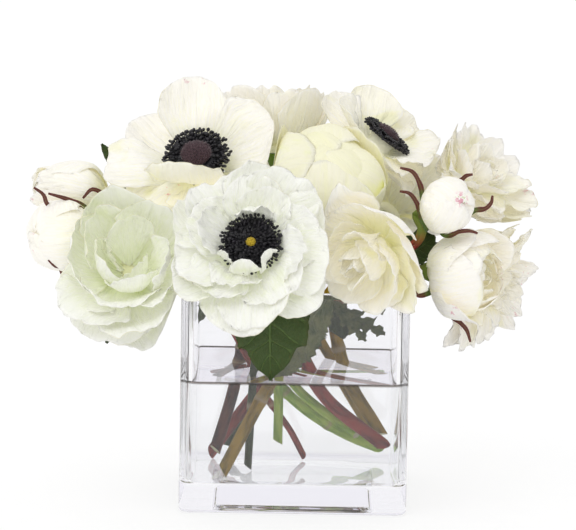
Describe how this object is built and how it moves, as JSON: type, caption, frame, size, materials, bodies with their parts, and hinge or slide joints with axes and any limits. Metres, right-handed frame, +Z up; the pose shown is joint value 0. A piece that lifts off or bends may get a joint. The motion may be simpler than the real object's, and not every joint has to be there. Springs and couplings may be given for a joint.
{
  "type": "rose in glass cube vase",
  "caption": "Low arrangement of white roses, anemones, peonies, dahlias and buds, cut short and standing in water in a clear square glass vase, with a few dark serrated leaves.",
  "frame": {"origin": "centre of the vase's flat underside, on the surface it stands on", "axes": "+Z up, +X along the arrangement's long side, to the right in the picture, and -Y towards its viewer"},
  "size_m": [0.2954, 0.2203, 0.2325],
  "materials": {
    "glass": "clear, polished",
    "water": "clear water, smooth",
    "petal_cream": "soft matt, faint veins",
    "petal_mint": "soft matt, mint-green folds",
    "petal_lemon": "soft matt, pale yellow-green",
    "stamen_black": "near black, slightly glossy knobs",
    "button_plum": "fuzzy purple-brown",
    "eye_yellow": "matt yellow",
    "stem_brown": "dark purple-brown bark, smooth",
    "stem_red": "red-brown, smooth",
    "stem_olive": "olive brown, smooth",
    "stem_green": "light green, smooth",
    "foliage_dark": "dark green, satin"
  },
  "bodies": {
    "root": {"anemone_back": "petal_cream", "anemone_front": "petal_mint", "anemone_left": "petal_cream", "anemone_right": "petal_cream", "bud_left_lower": "petal_cream", "bud_left_upper": "petal_cream", "bud_right": "petal_cream", "button_back": "button_plum", "button_left": "button_plum", "button_right": "button_plum", "cream_bloom_top": "petal_cream", "dahlia_lower": "petal_cream", "dahlia_upper": "petal_cream", "eye_front": "eye_yellow", "glass_vase": "glass", "peony_back": "petal_cream", "peony_left": "petal_mint", "ranunculus_top": "petal_lemon", "rose_back": "petal_cream", "rose_front": "petal_cream", "rose_right": "petal_cream", "stamens_back": "stamen_black", "stamens_front": "stamen_black", "stamens_left": "stamen_black", "stamens_right": "stamen_black", "stem_anemone_front": "stem_green", "stem_anemone_left": "stem_green", "stem_anemone_right": "stem_olive", "stem_back_blooms": "stem_olive", "stem_buds_left": "stem_red", "stem_cream_bloom": "foliage_dark", "stem_dahlias": "foliage_dark", "stem_peony_left": "stem_green", "stem_ranunculus": "stem_red", "stem_rose_back": "stem_brown", "stem_rose_front": "stem_olive", "stem_rose_right": "stem_red", "water": "water"}
  },
  "joints": []
}
